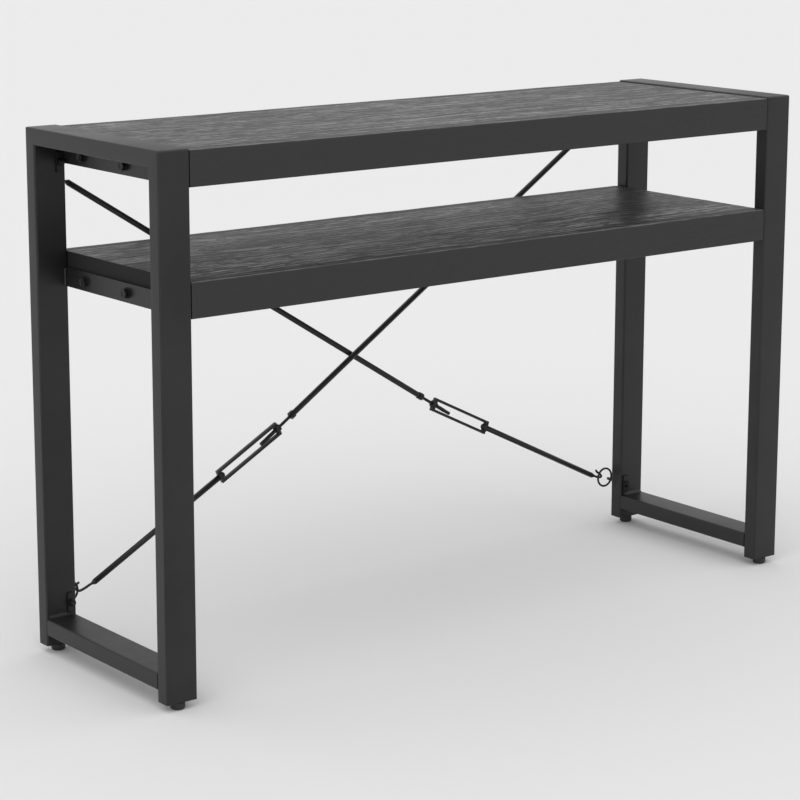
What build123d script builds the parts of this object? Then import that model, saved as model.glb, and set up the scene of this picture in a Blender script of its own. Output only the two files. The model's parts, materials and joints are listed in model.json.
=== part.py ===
from build123d import *

import math
import os

# Console table: two welded end frames, a wooden top and shelf bolted between them, and a
# pair of crossed tension braces behind. Millimetres, +Z up, length along X, front at -Y.

# Overall sizes
LENGTH = 1200.0            # over the end frames
DEPTH = 350.0              # over the posts, front to back
HEIGHT = 780.0             # floor to the top of the end frames
FOOT_HEIGHT = 12.0         # floor to the foot of the posts

# End frames, of rectangular tube
TUBE_WIDE = 50.0           # tube side along the length
TUBE_DEEP = 25.0           # tube side across the post or rail
TUBE_WALL = 2.0
TUBE_RADIUS = 3.0
BOTTOM_RAIL_UP = 28.0      # floor to the underside of the bottom rail
WELD_LEG = 4.0
WELD_INSET = 4.0           # bead end to the side of the tube

# Levelling feet
PAD_RADIUS = 10.5
PAD_CHAMFER = 1.8
STEM_RADIUS = 4.0
STEM_LENGTH = 28.0
INSERT_HEIGHT = 16.0
STEM_CLEARANCE = 0.06

# Wooden panels
PANEL_THICK = 51.0
PLANK_THICK = 23.0
PLANK_COUNT = 3
PLANK_EASE = 0.5           # eased long edges, which show as a fine joint
LIP_WIDE = 20.0            # edge strip along the front and back
LIP_ROUND = 1.5
PANEL_GAP = 1.0            # panel to posts, and panel faces behind the post faces
TOP_DROP = 2.0             # top surface below the top of the frames
SHELF_DROP = 181.0         # top of the frames down to the shelf's top face
END_BATTEN_WIDE = 25.0
MID_BATTEN_WIDE = 40.0

# Crossbars and their bolts
BAR_THICK = 4.0
BOLT_YS = (95.0, -17.0, -129.0)
BOLT_RADIUS = 4.0
BOLT_REACH = 18.0          # into the batten
BOLT_HEAD_ACROSS = 13.0
BOLT_HEAD_HIGH = 5.3
WASHER_RADIUS = 8.0
WASHER_THICK = 1.6
BOLT_CLEARANCE = 0.3
SCREW_RADIUS = 2.0
SCREW_BITE = 13.0          # into the plank
SCREW_HEAD_RADIUS = 4.2

# Brace anchors: eye bolts through the back posts
ANCHOR_IN = 40.0           # post's outer face to the eye bolt
ANCHOR_RISE = 20.0         # top of the bottom rail up to the lower eye bolts
ANCHOR_DROP = 26.0         # underside of the top rail down to the upper eye bolts
EYE_BEHIND = 10.0          # post's back face to the centre of the eye
EYE_RADIUS = 6.5
EYE_WIRE = 2.5
EYE_COLLAR_RADIUS = 6.0
EYE_COLLAR_THICK = 2.0
EYE_SHANK_RADIUS = 3.0
EYE_TAIL = 11.0            # shank beyond the post's front face
EYE_CLEARANCE = 0.2
PLATE_WIDE, PLATE_HIGH, PLATE_THICK = 11.0, 30.0, 3.0
NUT_ACROSS, NUT_THICK = 10.0, 5.0
NUT_CLEARANCE = 0.05

# Rings and the rods' hooked ends
RING_RADIUS = 15.75
RING_WIRE = 1.75
RING_SEAT = 2.1            # ring wire off the eye's centre when the brace is pulled home
HOOK_WIRE = 2.0
HOOK_GAP = 4.4             # hook wire's centre to the ring wire's centre
TAPER_LENGTH = 6.0

# Braces. A knee is the point where the brace bends, inside the turnbuckle's upper end.
ROD_RADIUS = 4.5
KNEES = {"rising": (0.3527, 31.3, -7.8), "falling": (0.3567, 42.5, 4.4)}
# each knee: share of the way up from the lower anchor, sag below the straight line
# between the anchors, and offset behind the plane of the eyes

# Turnbuckles
BARREL_LENGTH = 127.0
BARREL_WIDE = 22.6
BARREL_BAR_WIDE = 4.4
BARREL_BAR_DEEP = 7.0
BARREL_END_THICK = 5.0
BARREL_END_DEEP = 9.0
BOSS_RADIUS = 5.5
BOSS_THICK = 3.0
BARREL_HOLE_RADIUS = 3.2   # plain hole, wide enough for the screw to sit askew
NECK_RADIUS = 3.5
NECK_CLEARANCE = 0.08
HEAD_RADIUS = 5.2
HEAD_LENGTH = 5.0
END_FLOAT = 0.3
SCREW_SHANK_RADIUS = 2.5
SCREW_SHANK_REACH = 48.0   # knee to the tip of the tension screw
SCREW_FLANGE_RADIUS = 5.0
SCREW_FLANGE_THICK = 1.5
SCREW_FLANGE_OFF = 3.2     # knee to the flange, inside the turnbuckle
SLEEVE_RADIUS = 3.1
SLEEVE_LENGTH = 33.0
SLEEVE_FLATS = 5.2
SLEEVE_FLATS_LENGTH = 12.0
COLLAR_START = 30.0        # knee to the collar nut
COLLAR_LENGTH = 9.0
COLLAR_ACROSS = 11.0
THREAD_CLEARANCE = 0.06

# Where each brace end sits. Pull and hook are directions in degrees seen from the front:
# from eye to ring centre, and from ring centre to the hook. Side is the way the hook's
# tail turns. Rod end is measured from the eye, in X and Z.
ENDS = {
    "rising_lower": dict(at=(-1, -1), pull=14.0, hook=-3.0, side=1, rod_end=(63.0, 11.0)),
    "rising_upper": dict(at=(1, 1), pull=192.5, hook=192.5, side=-1, rod_end=(-53.0, -19.0)),
    "falling_upper": dict(at=(-1, 1), pull=-55.5, hook=-55.5, side=-1, rod_end=(34.0, -36.5)),
    "falling_lower": dict(at=(1, -1), pull=157.0, hook=168.0, side=-1, rod_end=(-48.0, 15.6)),
}

HALF_X = LENGTH / 2
HALF_Y = DEPTH / 2
POST_X = HALF_X - TUBE_WIDE / 2
POST_Y = HALF_Y - TUBE_DEEP / 2
INNER_X = HALF_X - TUBE_WIDE
INNER_Y = HALF_Y - TUBE_DEEP
BAR_HIGH = PANEL_THICK - PLANK_THICK
PANEL_X = INNER_X - PANEL_GAP
PANEL_Y = HALF_Y - PANEL_GAP
SURFACES = {"top": HEIGHT - TOP_DROP, "shelf": HEIGHT - SHELF_DROP}
EYE_Y = HALF_Y + EYE_BEHIND
BACK = (Align.CENTER, Align.CENTER, Align.MAX)
BASE = (Align.CENTER, Align.CENTER, Align.MIN)

parts = {}


def along(point, direction):
    """A plane at point whose Z axis runs along direction."""
    return Plane(origin=point, z_dir=direction)


def rod(start, end, radius):
    """A round bar between two points."""
    return along(start, end - start) * Cylinder(radius, (end - start).length, align=BASE)


def polar(angle):
    """A unit vector in the X-Z plane, by its angle in degrees seen from the front."""
    turn = math.radians(angle)
    return Vector(math.cos(turn), 0, math.sin(turn))


def hexagon(across, thick):
    """A hexagonal prism with lightly chamfered ends, flats facing X."""
    prism = extrude(RegularPolygon(across / math.sqrt(3), 6, rotation=30), thick)
    return prism & Cylinder(across * 0.565, thick, align=BASE)


def group(solids):
    """Separate solids kept together under one name."""
    return Compound(children=list(solids))


# End frames

def tube_profile():
    outer = RectangleRounded(TUBE_WIDE, TUBE_DEEP, TUBE_RADIUS)
    inside = RectangleRounded(
        TUBE_WIDE - 2 * TUBE_WALL, TUBE_DEEP - 2 * TUBE_WALL, TUBE_RADIUS - TUBE_WALL)
    return outer - inside


def mitre(front, inner):
    """The wedge cut from a post (inner) or a rail (outer) at the frame's top corner."""
    over = 5.0
    low = HEIGHT - TUBE_DEEP - over
    high = HEIGHT + over
    outside, inside = front * (HALF_Y + over), front * (INNER_Y - over)
    third = (inside, high) if inner else (outside, low)
    face = Plane.YZ * make_face(Polyline((outside, high), (inside, low), third, close=True))
    return extrude(face, LENGTH, both=True)


def bead(length):
    """A convex fillet weld along Z, its legs on +X and +Y."""
    reach = WELD_LEG * 0.6
    edge = Line((0, 0), (WELD_LEG, 0)) + ThreePointArc(
        (WELD_LEG, 0), (reach, reach), (0, WELD_LEG)) + Line((0, WELD_LEG), (0, 0))
    return extrude(make_face(edge), length)


def rail_bead(side, front, height, up):
    """A bead along X between a post's inner face and a rail's top or underside."""
    length = TUBE_WIDE - 2 * WELD_INSET - BAR_THICK
    start = side * (HALF_X - WELD_INSET)
    plane = Plane(origin=(start, front * INNER_Y, height), x_dir=(0, -front, 0),
                  z_dir=(-side, 0, 0))
    placed = plane * bead(length)
    grows_up = placed.bounding_box().max.Z > height + 1
    return placed if grows_up == up else placed.mirror(Plane((0, 0, height), z_dir=(0, 0, 1)))


def bar_bead(side, front, low, high):
    """An upright bead where a crossbar meets a post, on the crossbar's outer face."""
    corner = Location((side * (INNER_X + BAR_THICK), front * INNER_Y, low))
    turn = {(1, -1): 0, (1, 1): -90, (-1, 1): 180, (-1, -1): 90}[(side, front)]
    return corner * Rot(0, 0, turn) * bead(high - low)


def eye_hole(side, height):
    return Location((side * (HALF_X - ANCHOR_IN), POST_Y, height)) * Rot(90, 0, 0) * Cylinder(
        EYE_SHANK_RADIUS + EYE_CLEARANCE, 2 * TUBE_DEEP)


rail_top = BOTTOM_RAIL_UP + TUBE_DEEP
rail_under = HEIGHT - TUBE_DEEP
anchor_heights = {-1: rail_top + ANCHOR_RISE, 1: rail_under - ANCHOR_DROP}

# Crossbars stand under the planks, and the upper ones under the top rails too
bar_tops = {panel: min(surface - PLANK_THICK, rail_under)
            for panel, surface in SURFACES.items()}

for side, end_name in ((-1, "left"), (1, "right")):
    for front, row in ((-1, "front"), (1, "back")):
        post = Location((side * POST_X, front * POST_Y, FOOT_HEIGHT)) * extrude(
            tube_profile(), HEIGHT - FOOT_HEIGHT)
        post -= mitre(front, True)
        if row == "back":
            for height in anchor_heights.values():
                post -= eye_hole(side, height)
        parts[f"{end_name}_{row}_post"] = post
    across = Plane(origin=(side * POST_X, -HALF_Y, HEIGHT - TUBE_DEEP / 2),
                   x_dir=(1, 0, 0), z_dir=(0, 1, 0))
    rail = across * extrude(tube_profile(), DEPTH)
    parts[f"{end_name}_top_rail"] = rail - mitre(-1, False) - mitre(1, False)
    across = Plane(origin=(side * POST_X, -INNER_Y, BOTTOM_RAIL_UP + TUBE_DEEP / 2),
                   x_dir=(1, 0, 0), z_dir=(0, 1, 0))
    parts[f"{end_name}_bottom_rail"] = across * extrude(tube_profile(), 2 * INNER_Y)

    beads = []
    for front in (-1, 1):
        beads.append(rail_bead(side, front, rail_top, True))
        beads.append(rail_bead(side, front, BOTTOM_RAIL_UP, False))
        beads.append(rail_bead(side, front, rail_under, False))
        for panel, surface in SURFACES.items():
            low, high = surface - PANEL_THICK + 1, bar_tops[panel] - 1
            if panel == "top":
                high -= WELD_LEG
                if front == 1:
                    low = anchor_heights[1] + PLATE_HIGH / 2 + 1
            beads.append(bar_bead(side, front, low, high))
    parts[f"{end_name}_frame_welds"] = group(beads)

    for panel, surface in SURFACES.items():
        bottom = surface - PANEL_THICK
        bar = Location((side * (INNER_X + BAR_THICK / 2), 0, bottom)) * Box(
            BAR_THICK, 2 * INNER_Y, bar_tops[panel] - bottom, align=BASE)
        for y in BOLT_YS:
            bar -= Location((side * INNER_X, y, bottom + BAR_HIGH / 2)) * Rot(
                0, 90, 0) * Cylinder(BOLT_RADIUS + BOLT_CLEARANCE, 4 * BAR_THICK)
        parts[f"{end_name}_{panel}_crossbar"] = bar

# Levelling feet and the threaded inserts that hold them

foot_spots = {f"foot_{row}_{end_name}": (side * POST_X, front * POST_Y, 0)
              for side, end_name in ((-1, "left"), (1, "right"))
              for front, row in ((-1, "front"), (1, "back"))}

insert = extrude(RectangleRounded(
    TUBE_WIDE - 2 * TUBE_WALL, TUBE_DEEP - 2 * TUBE_WALL, TUBE_RADIUS - TUBE_WALL),
    INSERT_HEIGHT) - Cylinder(STEM_RADIUS + STEM_CLEARANCE, INSERT_HEIGHT, align=BASE)
parts["foot_inserts"] = group(
    Location((x, y, FOOT_HEIGHT)) * insert for x, y, _ in foot_spots.values())

pad = Cylinder(PAD_RADIUS, FOOT_HEIGHT, align=BASE)
pad = chamfer(pad.edges().group_by(Axis.Z)[0], PAD_CHAMFER)
foot = pad + Location((0, 0, FOOT_HEIGHT)) * Cylinder(STEM_RADIUS, STEM_LENGTH, align=BASE)
foot = chamfer(foot.edges().group_by(Axis.Z)[-1], 0.8)
for name, spot in foot_spots.items():
    parts[name] = Location(spot) * foot

# Wooden top and shelf

plank_wide = 2 * (PANEL_Y - LIP_WIDE) / PLANK_COUNT
batten_rows = [PANEL_Y - LIP_WIDE - plank_wide * (n + 0.5) for n in range(PLANK_COUNT)]
batten_columns = {-(INNER_X - END_BATTEN_WIDE / 2): END_BATTEN_WIDE, 0.0: MID_BATTEN_WIDE,
                  INNER_X - END_BATTEN_WIDE / 2: END_BATTEN_WIDE}
bolt_tips = []
screw_spots = []


def bolt_axis(side, y, height):
    """The plane of a panel bolt: origin on the crossbar's outer face, Z into the wood."""
    return Plane(origin=(side * (INNER_X + BAR_THICK), y, height), x_dir=(0, 0, 1),
                 z_dir=(-side, 0, 0))


for panel, surface in SURFACES.items():
    plank_low = surface - PLANK_THICK
    bottom = surface - PANEL_THICK
    for n, row in enumerate(("back", "middle", "front")):
        plank = Location((0, batten_rows[n], plank_low)) * Box(
            2 * PANEL_X, plank_wide, PLANK_THICK, align=BASE)
        plank = chamfer(plank.edges().filter_by(Axis.X).group_by(Axis.Z)[-1], PLANK_EASE)
        for x in batten_columns:
            plank -= Location((x, batten_rows[n], plank_low)) * Cylinder(
                SCREW_RADIUS, SCREW_BITE, align=BASE)
        parts[f"{panel}_plank_{row}"] = plank
    for front, row in ((-1, "front"), (1, "back")):
        lip = Location((0, front * (PANEL_Y - LIP_WIDE / 2), bottom)) * Box(
            2 * PANEL_X, LIP_WIDE, PANEL_THICK, align=BASE)
        outer = lip.edges().filter_by(Axis.X).group_by(Axis.Y)[0 if front < 0 else -1]
        parts[f"{panel}_{row}_lip"] = fillet(outer, LIP_ROUND)
    battens = []
    for x, wide in batten_columns.items():
        batten = Location((x, 0, bottom)) * Box(
            wide, 2 * (PANEL_Y - LIP_WIDE), BAR_HIGH, align=BASE)
        for y in batten_rows:
            batten -= Location((x, y, bottom)) * Cylinder(SCREW_RADIUS, BAR_HIGH, align=BASE)
            batten -= Location((x, y, bottom)) * Cone(
                SCREW_HEAD_RADIUS, SCREW_RADIUS, SCREW_HEAD_RADIUS, align=BASE)
            screw_spots.append((x, y, bottom))
        if x:
            side = math.copysign(1, x)
            for y in BOLT_YS:
                axis = bolt_axis(side, y, bottom + BAR_HIGH / 2)
                batten -= axis * Cylinder(BOLT_RADIUS, BAR_THICK + BOLT_REACH, align=BASE)
                bolt_tips.append(axis)
        battens.append(batten)
    parts[f"{panel}_battens"] = group(battens)

bolt_head = Location((0, 0, -WASHER_THICK - BOLT_HEAD_HIGH)) * hexagon(
    BOLT_HEAD_ACROSS, BOLT_HEAD_HIGH)
bolt = bolt_head + Location((0, 0, -WASHER_THICK)) * Cylinder(
    BOLT_RADIUS, WASHER_THICK + BAR_THICK + BOLT_REACH, align=BASE)
washer = Cylinder(WASHER_RADIUS, WASHER_THICK, align=BACK) - Cylinder(
    BOLT_RADIUS + BOLT_CLEARANCE, 2 * WASHER_THICK)
parts["panel_bolts"] = group(axis * bolt for axis in bolt_tips)
parts["panel_washers"] = group(axis * washer for axis in bolt_tips)

wood_screw = Cylinder(SCREW_RADIUS, BAR_HIGH + SCREW_BITE, align=BASE) + Cone(
    SCREW_HEAD_RADIUS, SCREW_RADIUS, SCREW_HEAD_RADIUS, align=BASE)
parts["plank_screws"] = group(Location(spot) * wood_screw for spot in screw_spots)

# Brace anchors, rings, hooks and rods

eyes, plates, nuts = [], [], []
ring_centres, rod_ends = {}, {}

for name, end in ENDS.items():
    side, level = end["at"]
    eye = Vector(side * (HALF_X - ANCHOR_IN), EYE_Y, anchor_heights[level])
    pull = polar(end["pull"])
    ring = eye + pull * (RING_RADIUS + RING_SEAT)
    ring_centres[name] = ring
    rod_ends[name] = eye + Vector(end["rod_end"][0], 0, end["rod_end"][1])

    loop = along(eye, pull.cross(Vector(0, 1, 0))) * Torus(EYE_RADIUS, EYE_WIRE)
    back = Vector(eye.X, HALF_Y, eye.Z)
    tail = Vector(eye.X, INNER_Y - EYE_TAIL, eye.Z)
    neck = Vector(eye.X, EYE_Y - EYE_RADIUS, eye.Z)
    collar = rod(back, back + Vector(0, EYE_COLLAR_THICK, 0), EYE_COLLAR_RADIUS)
    eyes.append(loop + collar + rod(tail, neck, EYE_SHANK_RADIUS))

    seat = Plane(origin=(eye.X, INNER_Y, eye.Z), x_dir=(1, 0, 0), z_dir=(0, -1, 0))
    plate = extrude(RectangleRounded(PLATE_WIDE, PLATE_HIGH, 1.5)
                    - Circle(EYE_SHANK_RADIUS + EYE_CLEARANCE), PLATE_THICK)
    nut = hexagon(NUT_ACROSS, NUT_THICK) - Cylinder(
        EYE_SHANK_RADIUS + NUT_CLEARANCE, 3 * NUT_THICK)
    plates.append(seat * plate)
    nuts.append(seat * Location((0, 0, PLATE_THICK)) * nut)
    parts[f"{name}_ring"] = along(ring, Vector(0, 1, 0)) * Torus(RING_RADIUS, RING_WIRE)

parts["eye_bolts"] = group(eyes)
parts["anchor_plates"] = group(plates)
parts["anchor_nuts"] = group(nuts)


def hook(name, knee):
    """A rod's end drawn down to wire and bent once round its ring.

    The wire is straight runs with a ball at each bend, from 1 mm inside the taper's tip;
    its places are measured from the ring's centre and its wire."""
    end = ENDS[name]
    start = rod_ends[name]
    heading = (start - knee).normalized()
    ring = ring_centres[name]
    outward = polar(end["hook"])
    sideways = polar(end["hook"] + 90 * end["side"])

    def spot(radial, shift, behind):
        return ring + outward * radial + sideways * shift + Vector(0, behind, 0)

    r, g = RING_RADIUS, HOOK_GAP
    route = [start + heading * (TAPER_LENGTH - 1),
             spot(r + 3.7, -0.3, -0.7 * g), spot(r, 0, -g), spot(r - 3.6, 1.6, -0.75 * g),
             spot(r - 4.9, 3.6, 0), spot(r - 3.8, 5.5, 0.75 * g), spot(r - 0.8, 6.8, g),
             spot(r + 4.8, 10.5, 0.9 * g)]
    wire = along(start, heading) * Cone(ROD_RADIUS, HOOK_WIRE, TAPER_LENGTH, align=BASE)
    for low, high in zip(route, route[1:]):
        wire += rod(low, high, HOOK_WIRE)
    for bend in route[1:-1]:
        wire += Location(bend) * Sphere(HOOK_WIRE)
    return wire


def knee_point(low, high, share, sag, behind):
    chord = low + (high - low) * share
    return Vector(chord.X, EYE_Y + behind, chord.Z - sag)


for brace, (share, sag, behind) in KNEES.items():
    low_name, high_name = f"{brace}_lower", f"{brace}_upper"
    spots = [Vector(ENDS[n]["at"][0] * (HALF_X - ANCHOR_IN), EYE_Y,
                    anchor_heights[ENDS[n]["at"][1]]) for n in (low_name, high_name)]
    knee = knee_point(*spots, share, sag, behind)
    up = (rod_ends[high_name] - knee).normalized()
    down = (rod_ends[low_name] - knee).normalized()

    # upper rod, bored for the tension screw, with a collar nut welded on its end
    collar_end = COLLAR_START + COLLAR_LENGTH
    bore = rod(knee + up * COLLAR_START, knee + up * (SCREW_SHANK_REACH + 3),
               SCREW_SHANK_RADIUS + THREAD_CLEARANCE)
    parts[f"{brace}_upper_rod"] = rod(
        knee + up * collar_end, rod_ends[high_name], ROD_RADIUS) - bore
    parts[f"{brace}_collar_nut"] = along(knee + up * COLLAR_START, up) * hexagon(
        COLLAR_ACROSS, COLLAR_LENGTH) - bore

    # tension screw: flange and long sleeve head inside the turnbuckle
    flange_low = knee - up * (SCREW_FLANGE_OFF + SCREW_FLANGE_THICK)
    sleeve_low = flange_low - up * SLEEVE_LENGTH
    sleeve = along(sleeve_low, up) * Cylinder(SLEEVE_RADIUS, SLEEVE_LENGTH, align=BASE)
    for way in (-1, 1):
        sleeve -= along(sleeve_low, up) * Location((way * SLEEVE_RADIUS, 0, 0)) * Box(
            2 * SLEEVE_RADIUS - SLEEVE_FLATS, 4 * SLEEVE_RADIUS, 2 * SLEEVE_FLATS_LENGTH)
    parts[f"{brace}_tension_screw"] = sleeve + rod(
        flange_low, knee - up * SCREW_FLANGE_OFF, SCREW_FLANGE_RADIUS) + rod(
        flange_low, knee + up * SCREW_SHANK_REACH, SCREW_SHANK_RADIUS)

    # turnbuckle: two side bars welded to two drilled end blocks
    flat = Plane(origin=knee, x_dir=down.cross(Vector(0, 1, 0)), z_dir=down)
    bar_mid = BARREL_LENGTH / 2 - BARREL_END_THICK / 2
    bar_off = (BARREL_WIDE - BARREL_BAR_WIDE) / 2
    bars = [flat * Location((way * bar_off, 0, bar_mid)) * Box(
        BARREL_BAR_WIDE, BARREL_BAR_DEEP, BARREL_LENGTH) for way in (-1, 1)]
    parts[f"{brace}_turnbuckle_bars"] = group(
        fillet(bar.edges().filter_by(lambda e: e.length > BARREL_LENGTH - 1), 1.0)
        for bar in bars)
    inside = BARREL_WIDE - 2 * BARREL_BAR_WIDE
    block = Box(inside, BARREL_END_DEEP, BARREL_END_THICK)
    upper_end = block + Location((0, 0, -BARREL_END_THICK / 2)) * Cylinder(
        BOSS_RADIUS, BOSS_THICK, align=BACK)
    upper_end -= Cylinder(BARREL_HOLE_RADIUS, 4 * BARREL_END_THICK)
    lower_end = block - Cylinder(NECK_RADIUS + NECK_CLEARANCE, 4 * BARREL_END_THICK)
    far_end = BARREL_LENGTH - BARREL_END_THICK
    parts[f"{brace}_turnbuckle_ends"] = group(
        [flat * upper_end, flat * Location((0, 0, far_end)) * lower_end])

    # lower rod, necked through the turnbuckle's lower end with a rounded head inside
    head_base = far_end - BARREL_END_THICK / 2 - END_FLOAT
    shoulder = far_end + BARREL_END_THICK / 2 + END_FLOAT
    head = Cylinder(HEAD_RADIUS, HEAD_LENGTH, align=BACK)
    head = fillet(head.edges().group_by(Axis.Z)[0], HEAD_LENGTH * 0.9)
    lower_rod = along(knee + down * head_base, down) * head
    lower_rod += rod(knee + down * (head_base - 1), knee + down * (shoulder + 1), NECK_RADIUS)
    lower_rod += rod(knee + down * shoulder, rod_ends[low_name], ROD_RADIUS)
    parts[f"{brace}_lower_rod"] = lower_rod

    parts[f"{brace}_lower_hook"] = hook(low_name, knee)
    parts[f"{brace}_upper_hook"] = hook(high_name, knee)

# Centre the footprint on the origin and write one STEP file a piece

boxes = [part.bounding_box() for part in parts.values()]
centre_y = (min(b.min.Y for b in boxes) + max(b.max.Y for b in boxes)) / 2
os.makedirs("parts", exist_ok=True)
for name, part in parts.items():
    placed = Location((0, -centre_y, 0)) * part
    export_step(placed, f"parts/{name}.step")
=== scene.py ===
import json
import math
from collections import namedtuple

import bmesh
import bpy
import numpy as np
from bpy.props import FloatProperty, FloatVectorProperty, IntProperty, PointerProperty
from mathutils import Matrix, Vector, noise


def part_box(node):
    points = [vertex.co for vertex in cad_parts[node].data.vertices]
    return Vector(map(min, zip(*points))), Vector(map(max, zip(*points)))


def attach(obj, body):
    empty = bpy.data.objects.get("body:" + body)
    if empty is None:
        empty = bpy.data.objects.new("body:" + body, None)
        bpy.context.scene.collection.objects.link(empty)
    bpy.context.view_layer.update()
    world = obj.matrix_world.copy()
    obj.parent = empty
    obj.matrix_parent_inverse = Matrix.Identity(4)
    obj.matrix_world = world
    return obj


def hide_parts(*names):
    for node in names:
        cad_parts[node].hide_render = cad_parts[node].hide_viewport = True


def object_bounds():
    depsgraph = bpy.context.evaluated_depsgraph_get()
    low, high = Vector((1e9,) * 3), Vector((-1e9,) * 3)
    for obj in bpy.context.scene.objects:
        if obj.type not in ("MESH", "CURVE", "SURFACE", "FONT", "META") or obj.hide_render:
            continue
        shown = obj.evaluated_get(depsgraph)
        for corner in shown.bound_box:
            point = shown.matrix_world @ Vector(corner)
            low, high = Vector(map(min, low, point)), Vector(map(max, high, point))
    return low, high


bl_info = {
    "name": "Console Table Finish",
    "version": (1, 0, 0),
    "blender": (4, 5, 0),
    "location": "3D View > Sidebar > Console Table",
    "description": "Builds the visible pieces and finishes of a braced console table round its CAD frame",
    "category": "Object",
}

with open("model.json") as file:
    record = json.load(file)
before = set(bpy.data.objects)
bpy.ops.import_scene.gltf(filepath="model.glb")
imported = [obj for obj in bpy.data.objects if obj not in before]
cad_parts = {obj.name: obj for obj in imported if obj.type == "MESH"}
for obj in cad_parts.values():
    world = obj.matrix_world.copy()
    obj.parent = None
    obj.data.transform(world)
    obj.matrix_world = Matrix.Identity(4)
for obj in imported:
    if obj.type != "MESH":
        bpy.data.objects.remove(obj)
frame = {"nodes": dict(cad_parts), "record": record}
CAD_LOW, CAD_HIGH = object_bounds()
BODY_OF_NODE = {node: body for body, nodes in frame["record"]["behaviour"]["bodies"].items()
                for node in nodes}

SIDES = (("left", -1), ("right", 1))
PANELS = ("top", "shelf")
BRACES = ("rising", "falling")
ROWS = ("front", "middle", "back")
RING_NODES = [f"{brace}_{end}_ring" for brace in BRACES for end in ("lower", "upper")]
SMOOTH = math.radians(32)        # faces that meet at a smaller angle are shaded as one

# Sizes and places that the CAD gives, in metres
INNER_X = 0.550                  # centre plane to the posts' inner faces
POST_X = 0.575                   # centre plane to the posts' centres
HALF_DEPTH = 0.175               # middle of an end frame to a post's outer face
CENTRE_Y = (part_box("left_front_post")[0].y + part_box("left_back_post")[1].y) / 2
TUBE_DEEP = 0.025
BOTTOM_RAIL = (0.028, 0.053)     # its underside and its top
TOP_RAIL_UNDER = 0.755
WELD_ENDS = (0.5966, 0.5555)     # centre plane to a rail weld's outer and inner end
BAR_THICK = 0.004
BAR_WELD = (0.0485, 0.0255)      # boards' top face down to a crossbar weld's two ends
TOP_BAR_WELD_SHORTER = 0.004
TOP_BACK_WELD_FOOT = 0.7465      # clear of the anchor plates below it
PANEL_THICK = 0.051
SURFACES = {panel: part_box(f"{panel}_plank_middle")[1].z for panel in PANELS}
BOLT_ROWS = (0.095, -0.017, -0.129)
BOLT_UP = 0.014                  # panel's underside up to the bolts
BATTEN_ROWS = (0.1026667, 0.0, -0.1026667)
BATTEN_COLUMNS = (-0.5375, 0.0, 0.5375)
EYE_X = 0.56                     # centre plane to the eye bolts
EYE_LOW, EYE_HIGH = 0.073, 0.729
EYE_BEHIND = 0.010               # post's back face to the eye's centre
EYE_RADIUS, EYE_WIRE = 0.0065, 0.0025
PLATE_THICK = 0.003              # anchor plates, which the anchor nuts sit on
RING_WIRE = 0.00175
HOOK_GAP = 0.0044                # hook wire's centre to the ring wire's centre
ROD_RADIUS, HOOK_WIRE = 0.0045, 0.002
TAPER_LENGTH = 0.006

# Each end of a brace: its eye's side and height, the way the eye is pulled and the way from
# the ring's centre to the hook, both in degrees from +X towards +Z, the side that the hook's
# tail turns to, and the rod's end from the eye in X and Z
BraceEnd = namedtuple("BraceEnd", "way height pull hook tail rod_end")
BRACE_ENDS = {
    "rising_lower": BraceEnd(-1, EYE_LOW, 14.0, -3.0, 1, (0.063, 0.011)),
    "rising_upper": BraceEnd(1, EYE_HIGH, 192.5, 192.5, -1, (-0.053, -0.019)),
    "falling_upper": BraceEnd(-1, EYE_HIGH, -55.5, -55.5, -1, (0.034, -0.0365)),
    "falling_lower": BraceEnd(1, EYE_LOW, 157.0, 168.0, -1, (-0.048, 0.0156)),
}

# How finely a board is cut, in metres
STRIP_ROUND = 0.0014             # radius of an edge strip's long edges
TOP_STEP = 0.0021                # between points across a top face
LENGTH_STEP = 0.0058             # between sections along the board
WORN_REACH = 0.006               # how far the worn edge reaches over each face


# ---------------------------------------------------------------- settings

class TableSizes(bpy.types.PropertyGroup):
    """Sizes of the worked and repeated details."""
    grain_depth: FloatProperty(
        name="Grain Depth", description="Depth of the brushed grain in the boards' top faces",
        default=0.00055, min=0.0, max=0.002, precision=5, unit="LENGTH")
    edge_wander: FloatProperty(
        name="Edge Wander", description="How far the worn upper front edge wanders",
        default=0.0011, min=0.0, max=0.003, precision=5, unit="LENGTH")
    board_round: FloatProperty(
        name="Board Rounding", description="Radius of the boards' long edges",
        default=0.0007, min=0.0001, max=0.003, precision=5, unit="LENGTH")
    weld_pitch: FloatProperty(
        name="Weld Pitch", description="Distance between two ripples of a weld bead",
        default=0.0016, min=0.0005, max=0.01, precision=5, unit="LENGTH")
    weld_radius: FloatProperty(
        name="Weld Radius", description="Radius of a weld bead",
        default=0.0027, min=0.001, max=0.006, precision=5, unit="LENGTH")
    thread_depth: FloatProperty(
        name="Thread Depth", description="Depth of the screw threads",
        default=0.00042, min=0.0, max=0.002, precision=5, unit="LENGTH")
    head_turn: FloatProperty(
        name="Head Turn", description="How much the bolt heads differ in the way they stand",
        default=0.45, min=0.0, max=math.pi, subtype="ANGLE")
    seed: IntProperty(
        name="Seed", description="Seed of the random turns and ripples", default=7, min=0)


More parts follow.
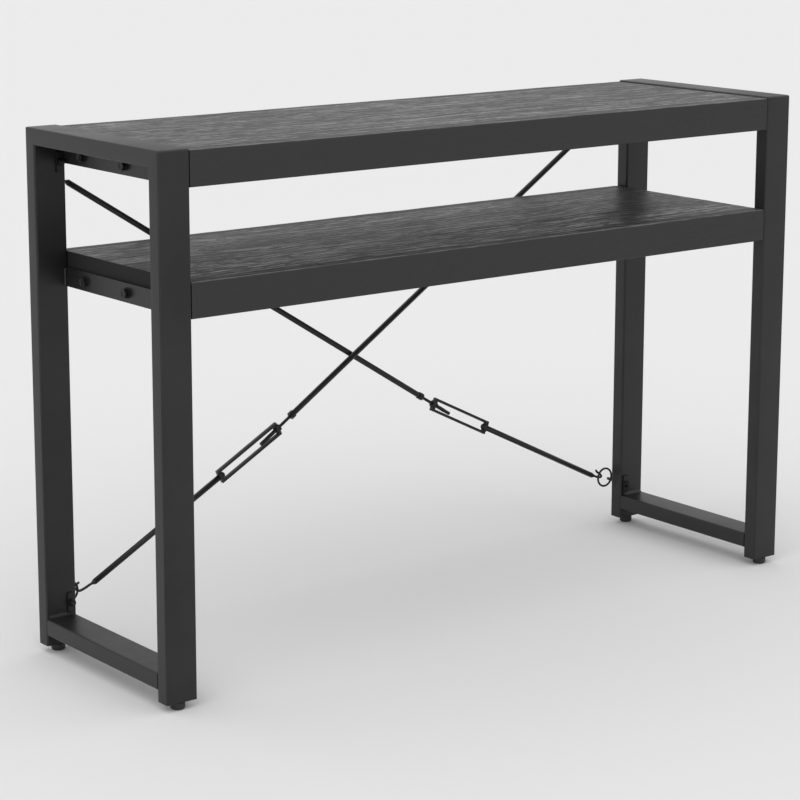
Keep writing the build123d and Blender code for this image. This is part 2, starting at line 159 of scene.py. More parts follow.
class TableFinishes(bpy.types.PropertyGroup):
    """Colours of the finishes."""
    coat: FloatVectorProperty(
        name="Powder Coat", description="Colour of the end frames' powder coat",
        subtype="COLOR", size=3, default=(0.012, 0.012, 0.0124), min=0, max=1)
    brace: FloatVectorProperty(
        name="Brace Paint", description="Colour of the braces' paint",
        subtype="COLOR", size=3, default=(0.008, 0.008, 0.0084), min=0, max=1)
    wood_dark: FloatVectorProperty(
        name="Wood Stain", description="Colour of the black stain in the grain",
        subtype="COLOR", size=3, default=(0.004, 0.004, 0.004), min=0, max=1)
    wood_light: FloatVectorProperty(
        name="Worn Wood", description="Colour where the stain is rubbed thin",
        subtype="COLOR", size=3, default=(0.205, 0.205, 0.202), min=0, max=1)
    lip: FloatVectorProperty(
        name="Edge Strip", description="Colour of the stained edge strips",
        subtype="COLOR", size=3, default=(0.013, 0.013, 0.013), min=0, max=1)
    floor: FloatVectorProperty(
        name="Floor", description="Colour of the studio floor",
        subtype="COLOR", size=3, default=(0.725, 0.725, 0.725), min=0, max=1)


# ---------------------------------------------------------------- node helpers

def put(tree, socket, value):
    """Links value to a socket where it is a node or a socket, and sets it otherwise."""
    if isinstance(value, bpy.types.Node):
        value = value.outputs[0]
    if isinstance(value, bpy.types.NodeSocket):
        tree.links.new(value, socket)
    elif value is not None:
        socket.default_value = value


def add(tree, kind, *values, props=None, **named):
    """Adds a node; values go to its inputs in order, and named ones by the input's name."""
    node = tree.nodes.new(kind)
    for key, value in (props or {}).items():
        setattr(node, key, value)
    for index, value in enumerate(values):
        put(tree, node.inputs[index], value)
    for key, value in named.items():
        put(tree, node.inputs[key.replace("_", " ")], value)
    return node


def maths(tree, operation, a, b=None):
    return add(tree, "ShaderNodeMath", a, b, props={"operation": operation}).outputs[0]


def vector_maths(tree, operation, a, b=None):
    node = add(tree, "ShaderNodeVectorMath", a, b, props={"operation": operation})
    return node.outputs[0]


def span(tree, value, low, high, to_low=0.0, to_high=1.0):
    """Value mapped from low..high to to_low..to_high, clamped, with smooth ends."""
    node = add(tree, "ShaderNodeMapRange", value, low, high, to_low, to_high,
               props={"interpolation_type": "SMOOTHSTEP"})
    return node.outputs[0]


def mix_colour(tree, factor, a, b):
    node = tree.nodes.new("ShaderNodeMix")
    node.data_type = "RGBA"
    put(tree, node.inputs[0], factor)
    for socket, value in ((node.inputs[6], a), (node.inputs[7], b)):
        if not isinstance(value, bpy.types.NodeSocket):
            value = (*value[:3], 1.0)
        put(tree, socket, value)
    return node.outputs[2]


def stretched(tree, vector, scale):
    """The vector scaled by a different amount along each axis."""
    return vector_maths(tree, "MULTIPLY", vector, scale)


def speckle(tree, vector, scale, detail=2.0, roughness=0.5, distortion=0.0):
    """The value of a noise texture, 0 to 1."""
    node = add(tree, "ShaderNodeTexNoise", Vector=vector, Scale=scale, Detail=detail,
               Roughness=roughness, Distortion=distortion)
    return node.outputs["Fac"]


def new_group(name, kind, inputs, outputs):
    """A node group with named sockets, and its input and output nodes."""
    group = bpy.data.node_groups.new(name, kind)
    for label, socket_type, default in inputs:
        socket = group.interface.new_socket(label, in_out="INPUT", socket_type=socket_type)
        if default is not None:
            socket.default_value = default
    for label, socket_type in outputs:
        group.interface.new_socket(label, in_out="OUTPUT", socket_type=socket_type)
    return group, group.nodes.new("NodeGroupInput"), group.nodes.new("NodeGroupOutput")


def place_group(tree, group, **named):
    node = tree.nodes.new("ShaderNodeGroup")
    node.node_tree = group
    for key, value in named.items():
        put(tree, node.inputs[key.replace("_", " ")], value)
    return node


# ---------------------------------------------------------------- shared effects

FLOAT, VECTOR = "NodeSocketFloat", "NodeSocketVector"


def black_washed_grain():
    """Lengthwise grain of a black-washed board: streaks, fine lines, pores, figure and knots."""
    group, given, out = new_group(
        "Black-washed Grain", "ShaderNodeTree",
        [("Position", VECTOR, None), ("Board", FLOAT, 0.0), ("Figure", FLOAT, 1.0)],
        [("Tone", FLOAT), ("Height", FLOAT)])
    shift = add(group, "ShaderNodeCombineXYZ", maths(group, "MULTIPLY", given.outputs["Board"], 3.7),
                maths(group, "MULTIPLY", given.outputs["Board"], 1.3), given.outputs["Board"])
    spot = vector_maths(group, "ADD", given.outputs["Position"], shift)
    sway = speckle(group, stretched(group, spot, (2.0, 6.0, 6.0)), 1.5, 3.0)
    bent = vector_maths(group, "ADD", spot, add(
        group, "ShaderNodeCombineXYZ", 0.0,
        maths(group, "MULTIPLY", maths(group, "SUBTRACT", sway, 0.5), 0.07), 0.0))
    streaks = speckle(group, stretched(group, bent, (2.6, 34.0, 34.0)), 1.3, 5.0, 0.6)
    flecks = speckle(group, stretched(group, bent, (17.0, 105.0, 105.0)), 1.0, 5.0, 0.74)
    fine = speckle(group, stretched(group, bent, (50.0, 230.0, 230.0)), 1.0, 4.0, 0.74)
    patches = speckle(group, stretched(group, spot, (3.4, 9.0, 9.0)), 1.4, 4.0, 0.6, 0.6)
    arcs = add(group, "ShaderNodeTexWave", Vector=stretched(group, bent, (1.6, 14.0, 14.0)),
               Scale=1.7, Distortion=8.0, Detail=3.0, Detail_Scale=1.2,
               props={"wave_type": "BANDS", "bands_direction": "Y"}).outputs["Fac"]
    dashes = speckle(group, stretched(group, bent, (30.0, 150.0, 150.0)), 1.0, 3.0, 0.7)
    pores = span(group, dashes, 0.53, 0.59)
    cells = add(group, "ShaderNodeTexVoronoi", Scale=1.0, Randomness=1.0,
                Vector=stretched(group, bent, (3.6, 13.0, 13.0)))
    sparse = span(group, add(group, "ShaderNodeSeparateColor", cells.outputs["Color"]),
                  0.60, 0.66)
    knots = maths(group, "MULTIPLY", span(group, cells.outputs["Distance"], 0.20, 0.04), sparse)
    base = None
    for part, weight in ((streaks, 0.28), (flecks, 0.34), (fine, 0.44), (patches, 0.22)):
        scaled = maths(group, "MULTIPLY", part, weight)
        base = maths(group, "ADD", base, scaled) if base else scaled
    figure = maths(group, "MULTIPLY", maths(group, "SUBTRACT", arcs, 0.5),
                   maths(group, "MULTIPLY", given.outputs["Figure"], 0.12))
    base = maths(group, "ADD", base, figure)
    tone = span(group, base, 0.57, 0.77)
    for dark, share in ((pores, 0.9), (knots, 0.9)):
        tone = maths(group, "MULTIPLY", tone, maths(group, "SUBTRACT", 1.0, maths(
            group, "MULTIPLY", dark, share)))
    height = maths(group, "ADD", maths(group, "MULTIPLY", flecks, 0.9),
                   maths(group, "MULTIPLY", fine, 0.5))
    height = maths(group, "SUBTRACT", height, maths(group, "MULTIPLY", pores, 0.7))
    put(group, out.inputs["Tone"], tone)
    put(group, out.inputs["Height"], height)
    return group


def powder_texture():
    """The fine orange peel of a powder coat, with slight changes of tone over larger areas."""
    group, given, out = new_group(
        "Powder Texture", "ShaderNodeTree",
        [("Position", VECTOR, None), ("Grain", FLOAT, 1.0)],
        [("Height", FLOAT), ("Tone", FLOAT), ("Rub", FLOAT)])
    peel = speckle(group, given.outputs["Position"],
                   maths(group, "MULTIPLY", given.outputs["Grain"], 900.0), 3.0, 0.55)
    pits = speckle(group, given.outputs["Position"],
                   maths(group, "MULTIPLY", given.outputs["Grain"], 2600.0), 1.0)
    cloud = speckle(group, given.outputs["Position"], 9.0, 4.0, 0.6)
    rub = speckle(group, given.outputs["Position"], 60.0, 5.0, 0.65)
    height = maths(group, "ADD", peel, maths(group, "MULTIPLY", pits, 0.35))
    put(group, out.inputs["Height"], height)
    put(group, out.inputs["Tone"], span(group, cloud, 0.3, 0.7))
    put(group, out.inputs["Rub"], span(group, rub, 0.52, 0.75))
    return group


def worn_and_highlit_arris():
    """A mask along a long upper edge at Edge Y and Edge Z, broken up as rubbed stain is; it marks both
    rubbed stain and a painted highlight on the edge's top side.
    """
    group, given, out = new_group(
        "Worn and Highlit Arris", "ShaderNodeTree",
        [("Position", VECTOR, None), ("Edge Y", FLOAT, 0.0), ("Edge Z", FLOAT, 0.0),
         ("Width", FLOAT, 0.002)],
        [("Mask", FLOAT)])
    split = add(group, "ShaderNodeSeparateXYZ", given.outputs["Position"])
    off_y = maths(group, "ABSOLUTE", maths(
        group, "SUBTRACT", split.outputs[1], given.outputs["Edge Y"]))
    off_z = maths(group, "ABSOLUTE", maths(
        group, "SUBTRACT", split.outputs[2], given.outputs["Edge Z"]))
    # the mask reaches less far down the outer face than over the top, because the painted highlight lies
    # on the top side only
    off = maths(group, "DIVIDE", maths(
        group, "MAXIMUM", off_y, maths(group, "MULTIPLY", off_z, 2.2)), given.outputs["Width"])
    patchy = speckle(group, stretched(group, given.outputs["Position"], (1.0, 3.0, 3.0)),
                     26.0, 5.0, 0.65)
    reach = maths(group, "SUBTRACT", maths(group, "ADD", off, maths(
        group, "MULTIPLY", patchy, 1.6)), 0.8)
    put(group, out.inputs["Mask"], span(group, reach, 1.0, 0.1))
    return group


EFFECTS = {}


def effect(name):
    """A shared effect's node group, built the first time that it is asked for."""
    makers = {"grain": black_washed_grain, "powder": powder_texture, "arris": worn_and_highlit_arris}
    if name not in EFFECTS:
        EFFECTS[name] = makers[name]()
    return EFFECTS[name]


# ---------------------------------------------------------------- materials

def new_material(name):
    """An empty material with an output, its tree, Principled node and object coordinates."""
    material = bpy.data.materials.new(name)
    material.use_nodes = True
    tree = material.node_tree
    tree.nodes.clear()
    out = tree.nodes.new("ShaderNodeOutputMaterial")
    shader = tree.nodes.new("ShaderNodeBsdfPrincipled")
    tree.links.new(shader.outputs[0], out.inputs["Surface"])
    position = tree.nodes.new("ShaderNodeTexCoord").outputs["Object"]
    return material, tree, shader, position


def bump(tree, shader, height, depth):
    node = add(tree, "ShaderNodeBump", Strength=1.0, Distance=depth, Height=height)
    put(tree, shader.inputs["Normal"], node.outputs[0])


def painted_steel(name, colour, roughness, grain=1.0, depth=0.00006, rubbed=0.03, metal=0.0):
    """Painted or coated steel: orange peel, slow changes of tone, and faintly rubbed spots."""
    material, tree, shader, position = new_material(name)
    coat = place_group(tree, effect("powder"), Position=position, Grain=grain)
    deep = tuple(channel * 0.82 for channel in colour)
    high = tuple(min(1.0, channel * 1.25) for channel in colour)
    tone = mix_colour(tree, coat.outputs["Tone"], deep, high)
    worn = tuple(min(1.0, channel * 2.2 + 0.01) for channel in colour)
    share = maths(tree, "MULTIPLY", coat.outputs["Rub"], rubbed)
    put(tree, shader.inputs["Base Color"], mix_colour(tree, share, tone, worn))
    dull = maths(tree, "MULTIPLY", maths(tree, "SUBTRACT", coat.outputs["Tone"], 0.5), 0.08)
    dull = maths(tree, "ADD", dull, maths(tree, "MULTIPLY", coat.outputs["Rub"], 0.05))
    put(tree, shader.inputs["Roughness"], maths(tree, "ADD", dull, roughness))
    shader.inputs["Metallic"].default_value = metal
    shader.inputs["Specular IOR Level"].default_value = 0.38
    bump(tree, shader, coat.outputs["Height"], depth)
    return material


def bare_steel(name, colour, roughness):
    """Zinc-plated or machined steel with a fine matt texture and darker rubbed spots."""
    material, tree, shader, position = new_material(name)
    coat = place_group(tree, effect("powder"), Position=position, Grain=0.7)
    dark = tuple(channel * 0.6 for channel in colour)
    put(tree, shader.inputs["Base Color"],
        mix_colour(tree, coat.outputs["Rub"], colour, dark))
    put(tree, shader.inputs["Roughness"], maths(tree, "ADD", maths(
        tree, "MULTIPLY", coat.outputs["Tone"], 0.15), roughness))
    shader.inputs["Metallic"].default_value = 1.0
    bump(tree, shader, coat.outputs["Height"], 0.00004)
    return material


def component(tree, vector, axis):
    return add(tree, "ShaderNodeSeparateXYZ", vector).outputs[axis]


def facing(tree, axis):
    """The surface normal's component along an axis."""
    return component(tree, add(tree, "ShaderNodeNewGeometry").outputs["Normal"], axis)


def end_face(tree):
    """1 on faces that look along the length, where the stain is thick, and 0 elsewhere."""
    return span(tree, maths(tree, "ABSOLUTE", facing(tree, "X")), 0.6, 0.9)


def painted_end_shade(tree, position):
    """1 where shade is painted on the boards' tops at their two ends, in the gap against the rails, and 0
    elsewhere.
    """
    along = maths(tree, "ABSOLUTE", component(tree, position, "X"))
    return span(tree, along, INNER_X - 0.0055, INNER_X - 0.0015)


def beside(tree, position, edge):
    """1 in the dark joint at the Y place edge, and 0 elsewhere."""
    off = maths(tree, "SUBTRACT", component(tree, position, "Y"), edge)
    return span(tree, maths(tree, "ABSOLUTE", off), 0.0022, 0.0006)


def board_wood(name, dark, light, board, wear, roughness=0.31, edges=()):
    """Black-washed wood with its own part of the grain.

    The stain gathers on the end faces and beside the long joints at the Y places in edges, and shade is
    painted on the tops near the ends, where the boards meet the rails."""
    material, tree, shader, position = new_material(name)
    grain = place_group(tree, effect("grain"), Position=position, Board=board)
    tone = grain.outputs["Tone"]
    share = maths(tree, "MULTIPLY", tone, wear)
    colour = mix_colour(tree, share, tuple(dark), tuple(light))
    rough = maths(tree, "SUBTRACT", roughness + 0.16, maths(tree, "MULTIPLY", tone, 0.16))
    ends = end_face(tree)
    # painted shade: the tops are darkened near the boards' ends, in the gap against the rails; the thick
    # stain on the end faces and the dark long joints are the wood's own
    stain_and_end_shade = maths(tree, "MAXIMUM", ends, painted_end_shade(tree, position))
    for edge in edges:
        stain_and_end_shade = maths(tree, "MAXIMUM", stain_and_end_shade, beside(tree, position, edge))
    # this darkening holds the painted end shade as well as the real dark stain
    put(tree, shader.inputs["Base Color"], mix_colour(
        tree, stain_and_end_shade, colour, tuple(0.5 * channel for channel in dark)))
    put(tree, shader.inputs["Roughness"], maths(tree, "MAXIMUM", rough, maths(
        tree, "MULTIPLY", ends, 0.85)))
    bump(tree, shader, maths(tree, "MULTIPLY", grain.outputs["Height"], maths(
        tree, "SUBTRACT", 1.0, ends)), 0.00035)
    return material


def lip_wood(name, looks, offset, arris):
    """An edge strip's wood: grain on top, a dark even stain outside, and a rubbed edge at arris that is
    also lightened as a painted highlight.

    arris is the edge's Y and Z."""
    material, tree, shader, position = new_material(name)
    grain = place_group(tree, effect("grain"), Position=position, Board=offset)
    top = span(tree, facing(tree, "Z"), 0.45, 0.9)
    worn = place_group(tree, effect("arris"), Position=position, Edge_Y=arris[0],
                       Edge_Z=arris[1], Width=0.0040)
    over = mix_colour(tree, maths(tree, "MULTIPLY", grain.outputs["Tone"], 0.60),
                      looks.wood_dark, looks.wood_light)
    dark = tuple(c * 0.85 for c in looks.lip)
    pale = tuple(c * 1.35 for c in looks.lip)
    side = mix_colour(tree, grain.outputs["Tone"], dark, pale)
    colour = mix_colour(tree, top, side, over)
    # painted highlight and real wear: the upper outer edge is lightened towards the worn wood colour,
    # which stands for both the rubbed stain and the highlight on the rounded edge
    rubbed = tuple(0.75 * a + 0.25 * b for a, b in zip(looks.wood_light, looks.lip))
    colour = mix_colour(tree, maths(tree, "MULTIPLY", worn.outputs["Mask"], 0.8), colour,
                        rubbed)
    put(tree, shader.inputs["Base Color"], colour)
    put(tree, shader.inputs["Roughness"], maths(tree, "ADD", maths(
        tree, "MULTIPLY", grain.outputs["Tone"], 0.2), 0.5))
    bump(tree, shader, grain.outputs["Height"], 0.00022)
    return material


def nylon(name, colour):
    """Moulded nylon with a fine matt texture."""
    material, tree, shader, position = new_material(name)
    coat = place_group(tree, effect("powder"), Position=position, Grain=1.6)
    put(tree, shader.inputs["Base Color"], mix_colour(
        tree, coat.outputs["Tone"], colour, tuple(c * 1.4 for c in colour)))
    put(tree, shader.inputs["Roughness"], maths(tree, "ADD", maths(
        tree, "MULTIPLY", coat.outputs["Rub"], 0.12), 0.55))
    bump(tree, shader, coat.outputs["Height"], 0.00005)
    return material


MATERIALS = {}


def finishes():
    return bpy.context.scene.table_finishes


def sizes():
    return bpy.context.scene.table_sizes


def finish(name):
    """A material by its short name, made the first time that it is asked for."""
    looks = finishes()
    makers = {
        "frame": lambda: painted_steel("Powder Coat", looks.coat, 0.37),
        "weld": lambda: painted_steel("Coated Weld", looks.coat, 0.40, 0.8, 0.00008),
        "brace": lambda: painted_steel("Brace Paint", looks.brace, 0.40, 1.2, 0.00004, 0.10),
        "fastener": lambda: painted_steel(
            "Black Oxide", looks.brace, 0.36, 1.4, 0.00003, 0.16, 0.25),
        "zinc": lambda: bare_steel("Zinc Plate", (0.55, 0.55, 0.54), 0.30),
        "insert": lambda: bare_steel("Machined Steel", (0.32, 0.32, 0.32), 0.34),
        "glide": lambda: nylon("Glide Nylon", (0.012, 0.012, 0.012)),
        "batten": lambda: board_wood(
            "Batten Wood", looks.wood_dark, (0.10, 0.095, 0.09), board=8.3, wear=0.8,
            roughness=0.6),
    }
    if name not in MATERIALS:
        MATERIALS[name] = makers[name]()
    return MATERIALS[name]


# ---------------------------------------------------------------- mesh helpers

def keep(mesh_object, node_names, body, material):
    """Settles a finished piece: its material, its body and the nodes it stands for."""
    mesh_object.data.materials.clear()
    mesh_object.data.materials.append(material)
    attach(mesh_object, body)
    if node_names:
        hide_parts(*node_names)
    return mesh_object


def link(name, mesh):
    piece = bpy.data.objects.new(name, mesh)
    bpy.context.scene.collection.objects.link(piece)
    return piece


def from_bmesh(name, work, smooth_angle=SMOOTH):
    mesh = bpy.data.meshes.new(name)
    work.to_mesh(mesh)
    work.free()
    mesh.shade_smooth()
    mesh.set_sharp_from_angle(angle=smooth_angle)
    return link(name, mesh)


def solid(name, work, smooth_angle=SMOOTH):
    """A piece from a closed mesh, its faces turned outward."""
    bmesh.ops.recalc_face_normals(work, faces=work.faces)
    return from_bmesh(name, work, smooth_angle)


def round_top_corners(work, radius=0.005, cuts=6):
    """Grinds the outer top corners of an end frame round, as its dressed mitre welds are."""
    for front in (-1, 1):
        centre = Vector((0, CENTRE_Y + front * (HALF_DEPTH - radius), CAD_HIGH.z - radius))
        for n in range(1, cuts):
            a = math.pi / 2 * n / cuts
            way = Vector((0, front * math.cos(a), math.sin(a)))
            geometry = [*work.verts, *work.edges, *work.faces]
            bmesh.ops.bisect_plane(work, geom=geometry, dist=1e-7, clear_outer=True,
                                   plane_co=centre + way * radius, plane_no=way)
            open_edges = [edge for edge in work.edges if edge.is_boundary]
            bmesh.ops.holes_fill(work, edges=open_edges, sides=0)


def skin(name, node, bevel=0.0, smooth_angle=SMOOTH, flat=math.radians(0.6), shape=None):
    """A clean copy of a CAD node: doubles merged, flat faces joined, edges eased by bevel.

    shape is a function that works on the mesh before its edges are eased."""
    work = bmesh.new()
    work.from_mesh(frame["nodes"][node].data)
    bmesh.ops.remove_doubles(work, verts=work.verts, dist=1e-6)
    if flat:
        bmesh.ops.dissolve_limit(work, angle_limit=flat, verts=work.verts, edges=work.edges)
    if shape:
        shape(work)
    piece = from_bmesh(name, work, smooth_angle)
    if bevel:
        ease = piece.modifiers.new("Eased Edges", "BEVEL")
        ease.width, ease.segments = bevel, 2
        ease.limit_method, ease.angle_limit = "ANGLE", smooth_angle
        ease.use_clamp_overlap = True
        baked(piece)
    return piece


def baked(piece):
    """Turns the piece's modifiers into plain mesh."""
    done = bpy.data.meshes.new_from_object(
        piece.evaluated_get(bpy.context.evaluated_depsgraph_get()))
    piece.modifiers.clear()
    piece.data = done
    return piece


def lathe(work, profile, place, steps=48):
    """Adds a turned solid: profile is (radius, height) pairs from the bottom to the top."""
    rings = []
    for radius, height in profile:
        if radius < 1e-7:
            rings.append([work.verts.new(place @ Vector((0, 0, height)))])
            continue
        rings.append([work.verts.new(place @ Vector((
            radius * math.cos(2 * math.pi * n / steps),
            radius * math.sin(2 * math.pi * n / steps), height))) for n in range(steps)])
    for low, high in zip(rings, rings[1:]):
        for n in range(steps):
            m = (n + 1) % steps
            corners = [low[n % len(low)], low[m % len(low)], high[m % len(high)],
                       high[n % len(high)]]
            unique = list(dict.fromkeys(corners))
            work.faces.new(unique)


def torus(work, place, radius, wire, around=72, section=20):
    """Adds a ring in the place's X-Y plane."""
    rings = []
    for n in range(around):
        a = 2 * math.pi * n / around
        ring = []
        for k in range(section):
            b = 2 * math.pi * k / section
            off = radius + wire * math.cos(b)
            ring.append(work.verts.new(place @ Vector((
                off * math.cos(a), off * math.sin(a), wire * math.sin(b)))))
        rings.append(ring)
    for n, here in enumerate(rings):
        there = rings[(n + 1) % around]
        for k in range(section):
            j = (k + 1) % section
            work.faces.new((here[k], there[k], there[j], here[j]))


def polar(degrees):
    """A unit vector in the X-Z plane, degrees from +X towards +Z."""
    return Vector((math.cos(math.radians(degrees)), 0, math.sin(math.radians(degrees))))


def axes(origin, z, x=None):
    """A placing matrix with its Z along z and its X towards x."""
    z = Vector(z).normalized()
    x = Vector(x) if x is not None else (
        Vector((1, 0, 0)) if abs(z.x) < 0.9 else Vector((0, 1, 0)))
    y = z.cross(x).normalized()
    x = y.cross(z)
    return Matrix.Translation(origin) @ Matrix((x, y, z)).transposed().to_4x4()


# ---------------------------------------------------------------- geometry node trees

GEOMETRY = "NodeSocketGeometry"


def run_tree(piece, group, **inputs):
    """Runs a geometry tree on the piece and keeps its result as plain mesh."""
    modifier = piece.modifiers.new(group.name, "NODES")
    modifier.node_group = group
    for item in group.interface.items_tree:
        key = item.name.replace(" ", "_")
        if item.in_out == "INPUT" and key in inputs:
            modifier[item.identifier] = inputs[key]
    piece.update_tag()
    bpy.context.view_layer.update()
    return baked(piece)


def end_tree(group, out, result, given):
    """Ends a tree: copies made real, and the given material set."""
    real = add(group, "GeometryNodeRealizeInstances", result)
    painted = add(group, "GeometryNodeSetMaterial", Geometry=real,
                  Material=given.outputs["Material"])
    put(group, out.inputs[0], painted)


def random_value(group, low, high, seed):
    """A random number from low to high for each element."""
    node = add(group, "FunctionNodeRandomValue", Seed=seed, props={"data_type": "FLOAT"})
    bounds = [socket for socket in node.inputs if socket.type == "VALUE" and socket.enabled]
    put(group, bounds[0], low)
    put(group, bounds[1], high)
    return [socket for socket in node.outputs if socket.type == "VALUE" and socket.enabled][0]


def fastener_tree():
    """Sets a copy of a pattern on each point, its Z along the point's axis, turned at random."""
    group, given, out = new_group(
        "Fasteners on Points", "GeometryNodeTree",
        [("Geometry", GEOMETRY, None), ("Pattern", "NodeSocketObject", None),
         ("Turn", FLOAT, 0.3), ("Seed", "NodeSocketInt", 0),
         ("Material", "NodeSocketMaterial", None)], [("Geometry", GEOMETRY)])
    pattern = add(group, "GeometryNodeObjectInfo", given.outputs["Pattern"])
    axis = add(group, "GeometryNodeInputNamedAttribute", Name="axis",
               props={"data_type": "FLOAT_VECTOR"})
    aim = add(group, "FunctionNodeAlignRotationToVector", Vector=axis.outputs[0],
              props={"axis": "Z"})
    turn = random_value(group, maths(group, "MULTIPLY", given.outputs["Turn"], -1.0),
                        given.outputs["Turn"], given.outputs["Seed"])
    spin = add(group, "FunctionNodeAxisAngleToRotation", (0, 0, 1), turn)
    pose = add(group, "FunctionNodeRotateRotation", aim, spin,
               props={"rotation_space": "LOCAL"})
    copies = add(group, "GeometryNodeInstanceOnPoints", Points=given.outputs["Geometry"],
                 Instance=pattern.outputs["Geometry"], Rotation=pose)
    end_tree(group, out, copies, given)
    return group


def ripple_tree():
    """Lays overlapping ripples along lines, as a hand-laid weld bead has."""
    group, given, out = new_group(
        "Rippled Bead", "GeometryNodeTree",
        [("Geometry", GEOMETRY, None), ("Radius", FLOAT, 0.0027), ("Pitch", FLOAT, 0.0016),
         ("Seed", "NodeSocketInt", 0), ("Material", "NodeSocketMaterial", None)],
        [("Geometry", GEOMETRY)])
    line = add(group, "GeometryNodeMeshToCurve", given.outputs["Geometry"])
    beads = add(group, "GeometryNodeResampleCurve", Curve=line,
                Length=given.outputs["Pitch"], props={"mode": "LENGTH"})
    points = add(group, "GeometryNodeCurveToPoints", Curve=beads,
                 props={"mode": "EVALUATED"})
    ball = add(group, "GeometryNodeMeshUVSphere", Segments=14, Rings=8,
               Radius=given.outputs["Radius"])
    flat = add(group, "GeometryNodeTransform", Geometry=ball.outputs["Mesh"],
               Scale=(1.0, 1.0, 0.62))
    size = random_value(group, 0.90, 1.03, given.outputs["Seed"])
    copies = add(group, "GeometryNodeInstanceOnPoints", Points=points.outputs["Points"],
                 Instance=flat, Rotation=points.outputs["Rotation"], Scale=size)
    smooth = add(group, "GeometryNodeSetShadeSmooth", copies)
    end_tree(group, out, smooth, given)
    return group


def thread_tree():
    """A bar along Z with a screw thread cut into it from its lower end to its upper one."""
    group, given, out = new_group(
        "Threaded Bar", "GeometryNodeTree",
        [("Geometry", GEOMETRY, None), ("Radius", FLOAT, 0.004), ("Length", FLOAT, 0.03),
         ("Pitch", FLOAT, 0.00125), ("Depth", FLOAT, 0.0004),
         ("Material", "NodeSocketMaterial", None)], [("Geometry", GEOMETRY)])
    steps = add(group, "FunctionNodeFloatToInt", maths(group, "MULTIPLY", maths(
        group, "DIVIDE", given.outputs["Length"], given.outputs["Pitch"]), 6.0))
    bar = add(group, "GeometryNodeMeshCylinder", Vertices=32, Side_Segments=steps,
              Radius=given.outputs["Radius"], Depth=given.outputs["Length"])
    place = add(group, "GeometryNodeInputPosition")
    split = add(group, "ShaderNodeSeparateXYZ", place)
    angle = maths(group, "DIVIDE", maths(
        group, "ARCTAN2", split.outputs[1], split.outputs[0]), 2 * math.pi)
    rise = maths(group, "DIVIDE", split.outputs[2], given.outputs["Pitch"])
    wave = maths(group, "PINGPONG", maths(group, "SUBTRACT", rise, angle), 0.5)
    share = maths(group, "MULTIPLY", maths(group, "MULTIPLY", wave, -2.0),
                  maths(group, "DIVIDE", given.outputs["Depth"], given.outputs["Radius"]))
    flat = add(group, "ShaderNodeCombineXYZ", split.outputs[0], split.outputs[1], 0.0)
    inward = add(group, "ShaderNodeVectorMath", flat, props={"operation": "SCALE"})
    put(group, inward.inputs["Scale"], share)
    cut = add(group, "GeometryNodeSetPosition", Geometry=bar.outputs["Mesh"], Offset=inward)
    end_tree(group, out, cut, given)
    return group


TREES = {}


def tree_named(name):
    makers = {"fasteners": fastener_tree, "ripples": ripple_tree, "thread": thread_tree}
    if name not in TREES:
        TREES[name] = makers[name]()
    return TREES[name]


def points_object(name, spots):
    """A mesh of loose points, each with the axis that its fastener follows."""
    mesh = bpy.data.meshes.new(name)
    mesh.from_pydata([spot for spot, _ in spots], [], [])
    store = mesh.attributes.new("axis", "FLOAT_VECTOR", "POINT")
    store.data.foreach_set("vector", [float(c) for _, axis in spots for c in axis])
    return link(name, mesh)


def scatter(name, spots, pattern, turn, material):
    piece = run_tree(points_object(name, spots), tree_named("fasteners"), Pattern=pattern,
                     Turn=turn, Seed=sizes().seed, Material=material)
    piece.data.set_sharp_from_angle(angle=SMOOTH)
    return piece


def threaded(name, place, radius, length, pitch, depth, material):
    """A threaded bar from place's origin along its Z."""
    piece = run_tree(link(name, bpy.data.meshes.new(name)), tree_named("thread"),
                     Radius=radius, Length=length, Pitch=pitch, Depth=depth,
                     Material=material)
    piece.data.transform(place @ Matrix.Translation((0, 0, length / 2)))
    piece.data.shade_smooth()
    piece.data.set_sharp_from_angle(angle=math.radians(50))
    return piece


def join(target, *others):
    """Adds the other pieces' meshes to the target's and removes them."""
    work = bmesh.new()
    for piece in (target, *others):
        work.from_mesh(piece.data)
    mesh = bpy.data.meshes.new(target.name)
    work.to_mesh(mesh)
    work.free()
    target.data = mesh
    for piece in others:
        bpy.data.objects.remove(piece)
    return target


# ---------------------------------------------------------------- boards

def board_section(low, high, corner, fine, front_edge):
    """Points round a board's Y-Z section, each with its inward way and how much it is worked.

    The top face is cut finely for the grain, the outer face of an edge strip less so."""
    points = []

    def line(start, end, step, inward, work):
        count = max(1, round((Vector(end) - Vector(start)).length / step))
        for n in range(count):
            spot = Vector(start).lerp(Vector(end), n / count)
            points.append((spot, Vector(inward), work))

    def corner_arc(centre, start, work):
        for n in range(4):
            a = math.radians(start - 90 * n / 4)
            way = Vector((math.cos(a), math.sin(a)))
            points.append((Vector(centre) + way * corner, -way, work))

    y0, z0, y1, z1, c = low.y, low.z, high.y, high.z, corner
    side = 0.004 if front_edge else 0.012
    line((y0, z0 + c), (y0, z1 - c), side, (1, 0), 0.25 if front_edge == -1 else 0.1)
    corner_arc((y0 + c, z1 - c), 180, 1.0 if front_edge == -1 else 0.6)
    line((y0 + c, z1), (y1 - c, z1), fine, (0, -1), 1.0)
    corner_arc((y1 - c, z1 - c), 90, 1.0 if front_edge == 1 else 0.6)
    line((y1, z1 - c), (y1, z0 + c), side, (-1, 0), 0.25 if front_edge == 1 else 0.1)
    corner_arc((y1 - c, z0 + c), 0, 0.0)
    line((y1 - c, z0), (y0 + c, z0), 0.02, (0, 1), 0.0)
    corner_arc((y0 + c, z0 + c), -90, 0.0)
    return points


